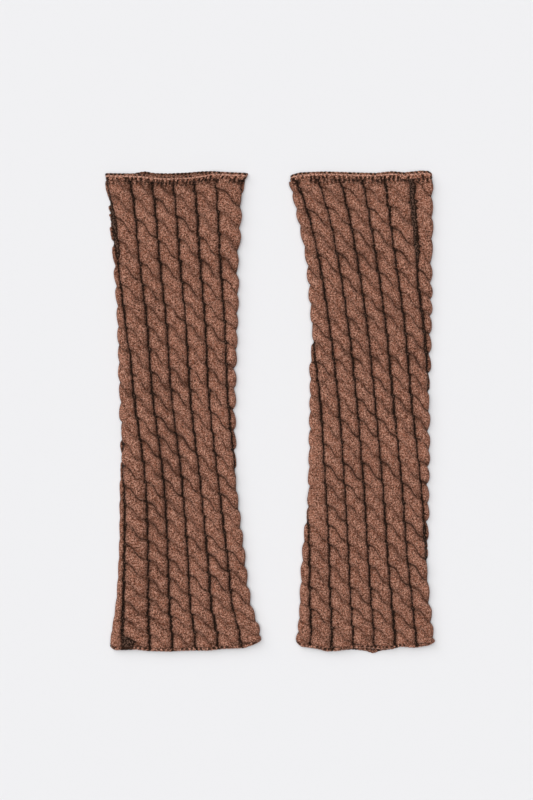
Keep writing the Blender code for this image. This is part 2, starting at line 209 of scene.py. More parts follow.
# smooth noise: random values on a lattice, blended between the four nearest
def softNoise(x, y, seed):
    lattice = np.random.default_rng(seed).random((64, 64)) * 2 - 1
    column, row = np.floor(x).astype(int), np.floor(y).astype(int)
    a, b = x - column, y - row
    a, b = a * a * (3 - 2 * a), b * b * (3 - 2 * b)
    low = lattice[row % 64, column % 64] * (1 - a) + lattice[row % 64, (column + 1) % 64] * a
    high = (
        lattice[(row + 1) % 64, column % 64] * (1 - a)
        + lattice[(row + 1) % 64, (column + 1) % 64] * a
    )
    return low * (1 - b) + high * b


# outline and knit at a height: a cubic between two rows of the table, its slopes from their neighbours
def sectionAt(leg, up):
    table = leg["sections"]
    heights = table[:, 0] * mm
    slopes = np.gradient(table, heights, axis=0)
    row = np.clip(np.searchsorted(heights, up, side="right") - 1, 0, len(heights) - 2)
    step = heights[row + 1] - heights[row]
    share = np.clip((up - heights[row]) / step, 0.0, 1.0)[..., None]
    step = step[..., None]
    values = (
        table[row] * (1 + 2 * share) * (1 - share) ** 2
        + slopes[row] * step * share * (1 - share) ** 2
        + table[row + 1] * share**2 * (3 - 2 * share)
        + slopes[row + 1] * step * share**2 * (share - 1)
    )
    return {
        "left": values[..., 1] * mm, "right": values[..., 2] * mm,
        "turn": values[..., 3], "front": values[..., 4], "crossings": values[..., 5],
    }


# the flattened tube: two flats and two half-round folds, followed by arc length.
# around: 0 at the left fold, 0.5 at the right fold by way of the top, 1 at the left fold again
def flatLoop(width, height, around):
    bend = height / 2
    flat = width - height
    quarter = pi * bend / 2
    half = flat + 2 * quarter
    around = np.mod(around, 1.0)
    under = around >= 0.5
    along = np.where(under, around - 0.5, around) * 2 * half
    leftTurn = np.minimum(along, quarter) / bend
    rightTurn = np.maximum(along - quarter - flat, 0.0) / bend
    onFlat = np.clip(along - quarter, 0.0, flat)
    x = -width / 2 + bend * (1 - np.cos(leftTurn)) + onFlat + bend * np.sin(rightTurn)
    z = bend * (np.sin(leftTurn) + np.cos(rightTurn))
    outX = np.sin(rightTurn) - np.cos(leftTurn)
    outZ = np.sin(leftTurn) + np.cos(rightTurn) - 1
    side = np.where(under, -1.0, 1.0)
    return side * x, height / 2 + side * (z - height / 2), side * outX, side * outZ


# how far the welt and the cast-off edge let the cables stand up: from endHold beside them to 1, as a
# quarter of a sine over endRun
def heldDown(up):
    run = np.clip(np.minimum(up, cloth["length"] - up) / cables["endRun"], 0.0, 1.0)
    return cables["endHold"] + (1 - cables["endHold"]) * np.sin(run * pi / 2)


# how much of an end's curve is felt at a distance from that end: (1 - distance / reach)^2
def nearEnd(distance):
    return np.clip(1 - distance / cloth["endReach"], 0.0, 1.0) ** 2


# a place on the wall: through runs from 0 on the outer side to 1 on the inner side, and rise moves
# it out along the outer side's normal; the ends' curves and the mouth's lift are added along Y and Z
def onWall(leg, around, up, through=0.0, rise=0.0):
    section = sectionAt(leg, up)
    centre = (section["right"] + section["left"]) / 2
    outline = section["right"] - section["left"]
    width = outline - 2 * cloth["edgeStand"] * heldDown(up)
    x, z, outX, outZ = flatLoop(width, cloth["height"], around)
    innerX, innerZ, _, _ = flatLoop(width - 2 * cloth["channelWall"], cloth["layerGap"], around)
    front = np.clip(outZ, 0.0, 1.0)
    x = x + rise * outX
    z = z + rise * outZ
    x = x * (1 - through) + innerX * through
    across = x / (outline / 2)
    z = z * (1 - through) + (innerZ + cloth["backWall"]) * through
    hem, mouth = leg["hem"], leg["mouth"]
    hemBack = np.interp(across, hem[:, 0], hem[:, 2])
    hemShape = hemBack + (np.interp(across, hem[:, 0], hem[:, 1]) - hemBack) * front
    mouthBack = np.interp(across, mouth[:, 0], mouth[:, 2])
    mouthShape = mouthBack + (np.interp(across, mouth[:, 0], mouth[:, 1]) - mouthBack) * front
    towardMouth = nearEnd(cloth["length"] - up)
    y = cloth["bottom"] + up + (nearEnd(up) * hemShape + towardMouth * mouthShape) * mm
    z = z + leg["mouthLift"] * towardMouth * front * np.clip(1 - across**2, 0.0, 1.0)
    return np.stack(np.broadcast_arrays(centre + x, y, np.maximum(z, 0.0)), axis=-1), outZ


# 1 where the wall faces up or sideways, falling to 0 a little before it faces straight down:
# (1 + outZ / 0.75)^1.5
def shownShare(outZ):
    return np.clip((outZ + 0.75) / 0.75, 0.0, 1.0) ** 1.5


# soft troughs and ridges pressed into the cloth: depth * exp(-(distance to the line / width)^2)
def creaseDepth(creases, x, up):
    total = np.zeros(x.shape)
    for firstX, firstUp, lastX, lastUp, width, depth in creases:
        runX, runUp = (lastX - firstX) * mm, (lastUp - firstUp) * mm
        fromX, fromUp = x - firstX * mm, up - firstUp * mm
        share = np.clip((fromX * runX + fromUp * runUp) / (runX**2 + runUp**2), 0.0, 1.0)
        distance = np.hypot(fromX - share * runX, fromUp - share * runUp)
        total = total + depth * mm * np.exp(-(distance / (width * mm)) ** 2)
    return total


# how far a cable's crossings run ahead, read between the places of its row; 0 for a hidden cable
def slipAt(leg, number, crossings):
    table = np.zeros((cables["around"], 6))
    for cable, row in leg["slips"].items():
        table[cable % cables["around"]] = row
    cable = np.mod(number, cables["around"]).astype(int)
    place = np.clip((crossings - 2) / 4, 0.0, 4.999)
    column = np.floor(place).astype(int)
    share = place - column
    return table[cable, column] * (1 - share) + table[cable, column + 1] * share


# 0 below the stretch from low to high, 1 inside it and 0 above, with smooth steps at its ends
def stretch(up, low, high):
    end = cables["stretchEnd"] / mm
    fade = np.clip((up / mm - low) / end, 0, 1) * np.clip((high - up / mm) / end, 0, 1)
    return fade * fade * (3 - 2 * fade)


# how far a channel lies aside: a smoothed sawtooth of the crossings, atan2(r sin t, 1 - r cos t),
# so it runs nearly straight between two crossings and steps back at each, and a slow wander
def channelAside(leg, channel, up, crossings):
    channel = np.mod(channel, cables["around"])
    slip = (slipAt(leg, channel, crossings) + slipAt(leg, channel - 1, crossings)) / 2
    turn = 2 * pi * (crossings + slip + cables["jogPlace"])
    sharp = cables["jogRound"]
    step = np.arctan2(sharp * np.sin(turn), 1 - sharp * np.cos(turn)) / (pi / 2)
    wander = softNoise(channel * 5.1, up / (9 * mm), leg["seed"])
    aside = cables["jog"] * step + cables["wander"] * wander
    for number, low, high, bend in leg["bends"]:
        bent = bend * stretch(up, low, high)
        aside = aside - np.where(channel == number % cables["around"], bent, 0.0)
    return aside


# how many cables lie left of a place, counted from the cable that starts at the left fold's top
def cableAt(leg, section, around, up):
    front, turn = section["front"], section["turn"]
    hidden = cables["around"] - front
    over = np.clip(around, 0.0, 0.5) * 2 * front
    under = (np.minimum(around, 0.0) + np.maximum(around - 0.5, 0.0)) * 2 * hidden
    cable = over + under - turn
    number = np.floor(cable)
    share = cable - number
    aside = channelAside(leg, number, up, section["crossings"]) * (1 - share)
    return cable + aside + channelAside(leg, number + 1, up, section["crossings"]) * share


# the share of its grooves that a cable has lost, where it is stretched over a fold: the sum of its
# calm stretches
def calmAt(leg, number, up):
    calm = np.zeros(np.broadcast(number, up).shape)
    for cable, low, high, share in leg["calm"]:
        calm = calm + np.where(number == cable, share * stretch(up, low, high), 0.0)
    return calm


# half width of the channel beside a place, on the side that the place is on, in cables:
# (half * (1 + slow noise of 30 mm) + what the leg's wide channels add) * (1 + ragged noise of 2 mm)
def channelHalf(leg, channel, up, rightSide):
    ring = np.mod(channel, cables["around"])
    slow = softNoise(ring * 4.7 + 3, up / (30 * mm), leg["seed"] + 21)
    half = cables["channelHalf"] * (1 + cables["channelVariety"] * slow)
    for number, low, high, leftHalf, rightHalf in leg["wideChannels"]:
        extra = np.where(rightSide, rightHalf, leftHalf) * stretch(up, low, high)
        half = half + np.where(channel == number, extra, 0.0)
    ragged = softNoise(ring * 7.3 + 11, up / (1.9 * mm), leg["seed"] + 20)
    return half * (1 + cables["channelRagged"] * ragged)


# the rope cables. Across a cable the crest is 1 - |2s - 1|^p, to a power. A strand's place is the
# crossings passed plus an arctangent of s, so it hooks away from the left channel, runs down to the
# right and hooks into the right channel. Whole numbers are the grooves between the strands. A lobe
# between two grooves is 1 - |2l - 1|^q, to a power, where l is leaned so that the strand on top has
# the steeper side. A channel is wider where a groove leaves or meets it
def ropeRelief(leg, cable, up, crossings):
    number = np.floor(cable)
    ring = np.mod(number, cables["around"])
    share = cable - number
    slipNoise = softNoise(ring * 3.7 + 0.3, crossings / 1.3, leg["seed"])
    slip = slipAt(leg, number, crossings) + cables["slipVariety"] * slipNoise
    middle = crossings + leg["strandStart"] + slip
    reach = np.arctan(1 / leg["lean"]) / pi
    leaves, meets = middle - reach, middle + reach
    variety = softNoise(ring * 2.9 + 0.7, np.round(leaves) * 1.37, leg["seed"] + 4)
    opening = cables["pinch"] * (1 + variety)
    near = cables["pinchReach"]
    leftHalf = channelHalf(leg, number, up, True)
    leftHalf = leftHalf + opening * np.exp(-((leaves - np.round(leaves)) / near) ** 2)
    rightHalf = channelHalf(leg, number + 1, up, False)
    rightHalf = rightHalf + 0.5 * opening * np.exp(-((meets - np.round(meets)) / near) ** 2)
    inner = np.clip((share - leftHalf) / (1 - leftHalf - rightHalf), 0.0, 1.0)
    crest = (1 - np.abs(2 * inner - 1) ** cables["crestPower"]) ** cables["crestRound"]
    strand = middle + np.arctan((2 * share - 1) / leg["lean"]) / pi
    between = strand - np.floor(strand)
    leaned = between ** np.exp(cables["overlap"] * (2 * share - 1))
    lobe = (1 - np.abs(2 * leaned - 1) ** cables["lobePower"]) ** cables["lobeRound"]
    depth = softNoise(ring * 1.9 + 0.4, np.round(strand) * 1.31 + 0.2, leg["seed"] + 2)
    depth = cables["grooveDepth"] * (1 + cables["depthVariety"] * depth)
    depth = depth * (cables["depthAtLeft"] - cables["depthLost"] * share)
    calm = calmAt(leg, number, up)
    depth = depth * (1 - calm)
    fullness = softNoise(ring * 2.3 + 0.5, np.floor(strand) * 1.7 + 0.5, leg["seed"] + 1)
    fullness = 1 + cables["unevenness"] * fullness
    rise = cables["rise"] * crest * heldDown(up) * (1 - depth + depth * lobe * fullness)
    slope = radians(cables["strandSlope"])
    x = share * cables["pitch"]
    wale = (np.sin(slope) * x + np.cos(slope) * up) / cables["waleWidth"]
    course = (np.cos(slope) * x - np.sin(slope) * up) / cables["stitchHeight"]
    fromChannel = np.minimum(share - leftHalf, 1 - rightHalf - share) * cables["pitch"]
    return {
        "rise": rise, "crest": crest, "strand": strand, "cable": cable, "wale": wale, "course": course,
        "fromChannel": fromChannel / mm, "height": rise / cables["rise"], "calm": calm,
    }


# rows and columns of one grid as faces: each takes the point, its neighbour in the next column, the
# one diagonally on and the one in the next row. A ring joins its last column, or row, to its first
def gridFaces(rows, columns, start=0, ringColumns=False, ringRows=False):
    rowIndex = np.arange(rows if ringRows else rows - 1)[:, None]
    columnIndex = np.arange(columns if ringColumns else columns - 1)[None, :]
    nextRow, nextColumn = (rowIndex + 1) % rows, (columnIndex + 1) % columns
    corners = (
        rowIndex * columns + columnIndex,
        rowIndex * columns + nextColumn,
        nextRow * columns + nextColumn,
        nextRow * columns + columnIndex,
    )
    return start + np.stack(corners, axis=-1).reshape(-1, 4)


# faces between a fine ring and a coarse one: a fan on each coarse point and one face between fans
def sewRings(fine, coarse, ratio):
    fine = np.append(fine, fine[0])
    coarse = np.append(coarse, coarse[0])
    edge = np.arange(len(fine) - 1)
    past = (edge % ratio) >= ratio // 2
    fans = np.stack([fine[edge + 1], fine[edge], coarse[edge // ratio + past]], axis=-1)
    cell = np.arange(len(coarse) - 1)
    between = np.stack([coarse[cell], coarse[cell + 1], fine[cell * ratio + ratio // 2]], axis=-1)
    return np.concatenate([fans, between])


neverWraps = 1e9  # the turn of a map that doesn't close round its piece


# a closed mesh from its faces. Each map comes with its length for one turn round the piece, so that a
# face across the map's start gets its corners in one turn: u + turn * round((first u - u) / turn)
def makePiece(name, points, quads, triangles, material, uvs, attributes, sharp=75):
    mesh = bpy.data.meshes.new(name)
    loops = np.concatenate([quads.ravel(), triangles.ravel()]).astype(np.int32)
    starts = np.concatenate([
        np.arange(len(quads)) * 4, len(quads) * 4 + np.arange(len(triangles)) * 3,
    ]).astype(np.int32)
    mesh.vertices.add(len(points))
    mesh.vertices.foreach_set("co", points.astype(np.float32).ravel())
    mesh.loops.add(len(loops))
    mesh.loops.foreach_set("vertex_index", loops)
    mesh.polygons.add(len(starts))
    mesh.polygons.foreach_set("loop_start", starts)
    mesh.update(calc_edges=True)
    mesh.validate()
    mesh.shade_smooth()
    mesh.set_sharp_from_angle(angle=radians(sharp))
    first = np.repeat(starts, np.diff(np.append(starts, len(loops))))
    for uvName, (values, turn) in uvs.items():
        layer = mesh.uv_layers.new(name=uvName)
        corners = values[loops]
        corners[:, 0] += turn * np.round((corners[first, 0] - corners[:, 0]) / turn)
        layer.data.foreach_set("uv", corners.astype(np.float32).ravel())
    for attributeName, values in attributes.items():
        layer = mesh.attributes.new(attributeName, "FLOAT", "POINT")
        layer.data.foreach_set("value", values.astype(np.float32).ravel())
    mesh.materials.append(material)
    piece = bpy.data.objects.new(name, mesh)
    bpy.context.scene.collection.objects.link(piece)
    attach(piece, "root")
    print(name, len(points), "points,", len(quads) * 2 + len(triangles), "triangles")
    return piece


# the welt and the cast-off edge. chainAt is where the pale chain runs, from the seam at 0 to the rim
# at 1. markRows is how many rows of dark dashes the band has room for, and only those below the
# chain show. sway is how far a rib wanders, in ribs
weltBand = {
    "low": cloth["length"] - cloth["weltHeight"] - cloth["seamReach"], "high": cloth["length"],
    "columns": 720, "rows": 40, "squareness": 0.6, "ribs": 69, "sway": 0.22, "swell": 0.7 * mm,
    "ribDepth": 0.9 * mm, "rimStart": 0.78, "rimRise": 0.4 * mm, "linkHeight": 0.45 * mm,
    "rimUp": True, "carry": 0.3,
    "markRows": 2.2, "chainAt": 0.60, "dashShare": 0.95, "chainShare": 0.65, "rimShade": 0.35,
    "spotShare": 0.95, "channelShare": 0.0,
}
castOffBand = {
    "low": 0.0, "high": cloth["castOffHeight"] + cloth["seamReach"],
    "columns": 720, "rows": 28, "squareness": 0.7, "ribs": 67, "sway": 0.22, "swell": 0.4 * mm,
    "ribDepth": 0.4 * mm, "rimStart": 0.5, "rimRise": 0.2 * mm, "linkHeight": 0.4 * mm,
    "rimUp": False, "carry": 0.7,
    "markRows": 1.0, "chainAt": 0.82, "dashShare": 0.9, "chainShare": 0.55, "rimShade": 0.0,
    "spotShare": 0.0, "channelShare": 0.9,
}


# the rib that a place round a band belongs to: around * ribs, with a slow sway
def ribAt(leg, around, along, band):
    sway = band["sway"] * softNoise(around * 60, along * 1.5, leg["seed"] + 31)
    return around * band["ribs"] + sway


tubeGrid = {
    "rows": 441, "frontColumns": 172, "backColumns": 44, "rowRatio": 8, "columnRatio": 4,
    "pastFold": 0.019,  # how far round the folds the close columns go, as a share of the way round
}


# the columns' places round the tube: close ones over the front and the folds, wide ones underneath
def columnPlaces():
    past, front, back = tubeGrid["pastFold"], tubeGrid["frontColumns"], tubeGrid["backColumns"]
    places = np.concatenate([
        np.linspace(-past, 0.5 + past, front, endpoint=False),
        np.linspace(0.5 + past, 1 - past, back, endpoint=False),
    ])
    return places, np.diff(np.append(places, 1 - past))


# the column nearest to a channel is drawn to its middle, where it is within half a gap, so every
# channel is crisp: around - (cable - nearest whole cable) / cables a turn
def drawToChannels(leg, section, around, up, gap):
    hidden = cables["around"] - section["front"]
    density = 2 * np.where((around > 0) & (around < 0.5), section["front"], hidden)
    reach = np.minimum(gap, np.roll(gap, 1))[None, :] * density / 2
    cable = cableAt(leg, section, around, up)
    offChannel = cable - np.round(cable)
    moved = np.where(np.abs(offChannel) <= reach, offChannel, 0.0)
    return around - moved / density, cable - moved


# the leg as one closed tube: fine rings with the cables outside, a plain coarse tube inside and a
# rim at each end. The outer side stands out from the wall by rise * shown - dip * (1 - shown) - crease,
# where shown is 1 on the front and falls to 0 where the tube rests
def knittedTube(leg, name, material):
    low = cloth["castOffHeight"] + cloth["seamGap"]
    high = cloth["length"] - cloth["weltHeight"] - cloth["seamGap"]
    places, gap = columnPlaces()
    rows, columns = tubeGrid["rows"], len(places)
    up = np.linspace(low, high, rows)[:, None] * np.ones((1, columns))
    plainAround = places[None, :] * np.ones((rows, 1))
    section = sectionAt(leg, up)
    around, cable = drawToChannels(leg, section, plainAround, up, gap)
    relief = ropeRelief(leg, cable, up, section["crossings"])
    flat, outZ = onWall(leg, around, up)
    shown = shownShare(outZ)
    dip = cables["pressedDepth"] * (1 - relief["crest"])
    crease = creaseDepth(leg["creases"], flat[..., 0], up) * shown
    crease = crease + creaseDepth(leg["creasesUnder"], flat[..., 0], up) * (1 - shown)
    outer, _ = onWall(leg, around, up, 0.0, relief["rise"] * shown - dip * (1 - shown) - crease)
    # painted shade beside a band, falling off over bandShadeReach
    beside = np.exp(-np.minimum(up - low, high - up) / cloth["bandShadeReach"])
    # painted shade: the creases and the cables right beside each band are darkened through the height
    # attribute
    paintedShade = cloth["creaseShade"] * crease / mm + cloth["bandShade"] * beside
    relief["height"] = relief["height"] - paintedShade
    coarse = (slice(None, None, tubeGrid["rowRatio"]), slice(None, None, tubeGrid["columnRatio"]))
    inner, _ = onWall(leg, plainAround[coarse], up[coarse], 1.0)
    innerRows, innerColumns = inner.shape[:2]
    start = rows * columns
    quads = np.concatenate([
        gridFaces(rows, columns, ringColumns=True),
        gridFaces(innerRows, innerColumns, start, ringColumns=True)[:, ::-1],
    ])
    outerRing, innerRing = np.arange(columns), start + np.arange(innerColumns)
    lastOuter, lastInner = (rows - 1) * columns, (innerRows - 1) * innerColumns
    triangles = np.concatenate([
        sewRings(outerRing, innerRing, tubeGrid["columnRatio"]),
        sewRings(outerRing + lastOuter, innerRing + lastInner, tubeGrid["columnRatio"])[:, ::-1],
    ])
    points = np.concatenate([outer.reshape(-1, 3), inner.reshape(-1, 3)])

    def both(values):
        return np.concatenate([values.reshape(-1), values[coarse].reshape(-1)])

    ribPlace = ribAt(leg, plainAround, 0.0, weltBand)
    belowWelt = -(cloth["length"] - cloth["weltHeight"] - up) / cloth["weltHeight"]
    uvs = {
        "strandUV": (np.stack([both(relief["cable"]), both(relief["strand"])], axis=-1), cables["around"]),
        "stitchUV": (np.stack([both(relief["wale"]), both(relief["course"])], axis=-1), neverWraps),
        "ribUV": (np.stack([both(ribPlace), both(belowWelt)], axis=-1), weltBand["ribs"]),
    }
    attributes = {
        "fromChannel": both(relief["fromChannel"]), "height": both(relief["height"]),
        "calm": both(relief["calm"]),
    }
    return makePiece(name, points, quads, triangles, material, uvs, attributes)


# the band at an end of the tube: a rounded cross-section, carried all round the tube. The section is a
# superellipse through the wall, sign(cos) |cos|^squareness by sign(sin) |sin|^squareness. Its outer
# side swells by sin(pi (0.3 + 0.7 toRim))^0.5, ribs ripple it, links ripple its rim, and the cables
# run on into it, rounded down toward the rim, by carry * rise * (1 - toRim^2)^0.5
def knittedBand(leg, name, band, material):
    columns, rows = band["columns"], band["rows"]
    angle = np.linspace(0, 2 * pi, rows, endpoint=False)[:, None] * np.ones((1, columns))
    around = np.linspace(0, 1, columns, endpoint=False)[None, :] * np.ones((rows, 1))
    squared = np.sign(np.cos(angle)) * np.abs(np.cos(angle)) ** band["squareness"]
    through = 0.5 - 0.5 * squared
    rising = np.sign(np.sin(angle)) * np.abs(np.sin(angle)) ** band["squareness"]
    along = 0.5 + 0.5 * rising
    up = band["low"] + along * (band["high"] - band["low"])
    outZ = onWall(leg, around, up)[1]
    shown = shownShare(outZ)
    ribPlace = ribAt(leg, around, along, band)
    section = sectionAt(leg, up)
    relief = ropeRelief(leg, cableAt(leg, section, around, up), up, section["crossings"])
    rib = np.minimum(np.abs(np.sin(pi * ribPlace)) / 0.7, 1.0) ** 0.7
    toRim = along if band["rimUp"] else 1 - along
    body = np.sin(pi * (0.3 + 0.7 * toRim)) ** 0.5
    link = np.abs(np.sin(pi * ribPlace)) ** 0.6
    rim = np.clip((toRim - band["rimStart"]) / (1 - band["rimStart"]), 0.0, 1.0)
    rise = (band["swell"] * body + band["ribDepth"] * (rib - 0.5) * body * (1 - rim)) * shown
    rise = rise + band["rimRise"] * np.sin(pi * rim) ** 0.8 * (0.6 + 0.4 * link) * shown
    rise = rise + band["carry"] * relief["rise"] * np.sqrt(1 - toRim**2) * shown
    points, _ = onWall(leg, around, up, through, rise)
    bump = band["linkHeight"] * link * rim * (1 if band["rimUp"] else -1)
    points[..., 1] += bump
    quads = gridFaces(rows, columns, ringColumns=True, ringRows=True)
    ribUV = np.stack([ribPlace.reshape(-1), toRim.reshape(-1)], axis=-1)
    noTriangles = np.zeros((0, 3), int)
    # painted shade mask: the band's inner side and its rim underneath, where the wool is darkened and the
    # chain dimmed
    backRim = (1 - shown) * np.clip((toRim - 0.7) / 0.2, 0.0, 1.0)
    hidden = np.maximum(np.clip((through - 0.3) / 0.5, 0.0, 1.0), backRim)
    return makePiece(
        name, points.reshape(-1, 3), quads, noTriangles, material, {"ribUV": (ribUV, band["ribs"])},
        {"hidden": hidden.reshape(-1), "fromChannel": relief["fromChannel"].reshape(-1)},
    )


# node helpers: a node with its inputs set or linked, and short forms of those that are used most
def addNode(tree, kind, inputs=None, **settings):
    node = tree.nodes.new(kind)
    for key, value in settings.items():
        setattr(node, key, value)
    for key, value in (inputs or {}).items():
        if isinstance(value, bpy.types.NodeSocket):
            tree.links.new(value, node.inputs[key])
        else:
            node.inputs[key].default_value = value
    return node


def maths(tree, operation, first, second=0.0, third=0.0):
    inputs = {0: first, 1: second, 2: third}
    return addNode(tree, "ShaderNodeMath", inputs, operation=operation).outputs[0]


def times(tree, first, second):
    return maths(tree, "MULTIPLY", first, second)


def minus(tree, first, second):
    return maths(tree, "SUBTRACT", first, second)


def farFrom(tree, value, middle):
    return maths(tree, "ABSOLUTE", minus(tree, value, middle))


def mapRange(tree, value, fromMin, fromMax, toMin=0.0, toMax=1.0):
    return addNode(tree, "ShaderNodeMapRange", {
        "Value": value, "From Min": fromMin, "From Max": fromMax, "To Min": toMin, "To Max": toMax,
    }).outputs[0]


def mixColours(tree, factor, first, second):
    inputs = {0: factor, 6: first, 7: second}
    return addNode(tree, "ShaderNodeMix", inputs, data_type="RGBA").outputs[2]


def noise(tree, place, scale, detail=2.0, roughness=0.6):
    return addNode(tree, "ShaderNodeTexNoise", {
        "Vector": place, "Scale": scale, "Detail": detail, "Roughness": roughness,
    }).outputs["Fac"]


def attribute(tree, name):
    return addNode(tree, "ShaderNodeAttribute", attribute_name=name).outputs["Fac"]


def uvMap(tree, name):
    return addNode(tree, "ShaderNodeUVMap", uv_map=name).outputs[0]


def splitVector(tree, vector):
    return addNode(tree, "ShaderNodeSeparateXYZ", {0: vector}).outputs


# three values from 0 to 1 for each cell of a grid that is given by two whole numbers
def cellValues(tree, first, second):
    cell = addNode(tree, "ShaderNodeCombineXYZ", {0: first, 1: second, 2: 0.0})
    random = addNode(tree, "ShaderNodeTexWhiteNoise", {"Vector": cell.outputs[0]})
    split = addNode(tree, "ShaderNodeSeparateColor", {0: random.outputs["Color"]})
    return split.outputs[0], split.outputs[1], split.outputs[2]


# a shader node group, with the sockets inside it that its inputs come from and its outputs go to
def newGroup(name, inputs, outputs):
    group = bpy.data.node_groups.new(name, "ShaderNodeTree")
    for socketName, kind, value in inputs:
        socket = group.interface.new_socket(socketName, in_out="INPUT", socket_type=kind)
        if value is not None:
            socket.default_value = value
    for socketName in outputs:
        group.interface.new_socket(socketName, in_out="OUTPUT", socket_type="NodeSocketFloat")
    entry = group.nodes.new("NodeGroupInput")
    leave = group.nodes.new("NodeGroupOutput")
    return group, entry.outputs, leave.inputs


def putOut(group, out, values):
    for name, value in values.items():
        group.links.new(value, out[name])


# knit stitches: each wale is a column of Vs, two slanted legs of yarn. A leg of yarn is rounded both
# ways, (sin along * sin across)^0.5, and has its own tone
def stitchGroup():
    group, given, out = newGroup(
        "knitStitches",
        [("Stitch", "NodeSocketVector", None), ("Slant", "NodeSocketFloat", 0.9)],
        ["Height", "Gap", "Tone"],
    )
    split = splitVector(group, given["Stitch"])
    across = maths(group, "FRACT", split[0])
    slanted = maths(group, "MULTIPLY_ADD", farFrom(group, across, 0.5), given["Slant"], split[1])
    length = maths(group, "SINE", times(group, maths(group, "FRACT", slanted), pi))
    legShare = maths(group, "FRACT", times(group, across, 2.0))
    width = maths(group, "SINE", times(group, legShare, pi))
    height = maths(group, "POWER", times(group, length, width), 0.5)
    number = addNode(group, "ShaderNodeCombineXYZ", {
        0: maths(group, "FLOOR", times(group, split[0], 2.0)), 1: maths(group, "FLOOR", slanted),
    })
    tone = addNode(group, "ShaderNodeTexWhiteNoise", {"Vector": number.outputs[0]})
    putOut(group, out, {
        "Height": height, "Gap": minus(group, 1.0, height), "Tone": tone.outputs["Value"],
    })
    return group


# heathered yarn: soft patches, and light and dark flecks about as large as a stitch
def heatherGroup():
    group, given, out = newGroup(
        "heatheredYarn",
        [("Place", "NodeSocketVector", None), ("Fleck Size", "NodeSocketFloat", 780.0)],
        ["Light", "Dark", "Patch"],
    )
    light = noise(group, given["Place"], given["Fleck Size"], 1.0)
    dark = noise(group, given["Place"], times(group, given["Fleck Size"], 1.15), 1.0)
    putOut(group, out, {
        "Light": mapRange(group, light, 0.49, 0.60), "Dark": mapRange(group, dark, 0.50, 0.38),
        "Patch": noise(group, given["Place"], 60.0, 3.0),
    })
    return group


# a knitted band's marks, from its map: how many ribs round, and 0 at the band's seam to 1 at its rim.
# Dark dashes of uneven strength between the ribs in rows, a pale chain line and dark spots beyond it
def bandGroup():
    group, given, out = newGroup(
        "bandMarks",
        [("Rib", "NodeSocketVector", None), ("Rough Edge", "NodeSocketFloat", 0.0),
         ("Rows", "NodeSocketFloat", 2.2), ("Chain", "NodeSocketFloat", 0.56)],
        ["Dash", "Chain", "Spot"],
    )
    split = splitVector(group, given["Rib"])
    ribPlace, toRim = split[0], split[1]
    rough = given["Rough Edge"]
    fromChain = minus(group, toRim, given["Chain"])
    rib = maths(group, "ROUND", ribPlace)
    level = times(group, toRim, given["Rows"])
    strength, shift, reach = cellValues(group, rib, maths(group, "FLOOR", level))
    aside = times(group, minus(group, shift, 0.5), 0.36)
    fromGap = maths(group, "ABSOLUTE", maths(group, "ADD", minus(group, ribPlace, rib), aside))
    dash = mapRange(group, maths(group, "MULTIPLY_ADD", rough, 0.9, fromGap), 0.38, 0.22)
    fromRow = farFrom(group, maths(group, "FRACT", level), 0.5)
    ends = mapRange(group, minus(group, fromRow, times(group, reach, 0.35)), 0.45, 0.2)
    dash = times(group, dash, maths(group, "MULTIPLY_ADD", ends, 0.7, 0.3))
    dash = times(group, dash, mapRange(group, strength, 0.05, 0.5, 0.2, 1.0))
    dash = times(group, dash, mapRange(group, fromChain, -0.06, -0.13))
    fromLink = farFrom(group, maths(group, "FRACT", ribPlace), 0.5)
    besideChain = maths(group, "ABSOLUTE", maths(group, "MULTIPLY_ADD", rough, 0.35, fromChain))
    chain = mapRange(group, besideChain, 0.11, 0.04)
    chain = times(group, chain, mapRange(group, fromLink, 0.5, 0.2, 0.1, 1.0))
    spotStrength = cellValues(group, maths(group, "FLOOR", ribPlace), 7.0)[0]
    spot = mapRange(group, maths(group, "MULTIPLY_ADD", rough, 0.7, fromLink), 0.36, 0.20)
    spot = times(group, spot, mapRange(group, spotStrength, 0.1, 0.6, 0.2, 1.0))
    spot = times(group, spot, mapRange(group, fromChain, 0.07, 0.14))
    putOut(group, out, {"Dash": dash, "Chain": chain, "Spot": spot})
    return group


woolLook = {
    "deepBrown": (0.240, 0.083, 0.048, 1.0),
    "paleBrown": (0.380, 0.143, 0.085, 1.0),
    "lightFibre": (0.72, 0.375, 0.265, 1.0),
    # dark fibre flecks, and also the colour that the painted shade darkens toward
    "darkFibreAndShade": (0.038, 0.014, 0.007, 1.0),
    # black yarn, and also the colour of the painted shadow lines in the grooves
    "blackYarnAndShadow": (0.013, 0.0055, 0.0025, 1.0),
    "blackSpeck": (0.130, 0.072, 0.052, 1.0),
    "chainFibre": (0.62, 0.37, 0.29, 1.0),
    "lightShare": 1.0,
    "darkShare": 0.9,
    "brightStitch": 0.4,
    "dullStitch": 0.4,
    # painted shade in the gaps between stitches
    "gapShadeShare": 0.8,
    "litFrom": 0.85,  # share of the cables' rise above which nothing is in the shade
    # painted shade down in the grooves and creases: its curve and its strength
    "paintedShadeCurve": 1.3,
    "paintedShadeShare": 0.74,
    "grooveShadowShare": 0.75,  # strength of the painted shadow lines in the grooves
    "weltDashShare": 0.9,  # strength of the welt's dashes where they run on down to the cables
    "raggedYarn": 4.5,  # how far the black yarn's edge strays, for the rough edge's noise
    "bandGrainPale": 0.4,
    "bandGrainDull": 0.8,
    "insideShade": 0.45,  # painted shade on a band's inner side and on its rim underneath
    "roughness": 0.95,
    "specular": 0.1,
    "sheen": 0.05,
    "sheenRoughness": 0.45,
    "stitchBump": 0.6,
}


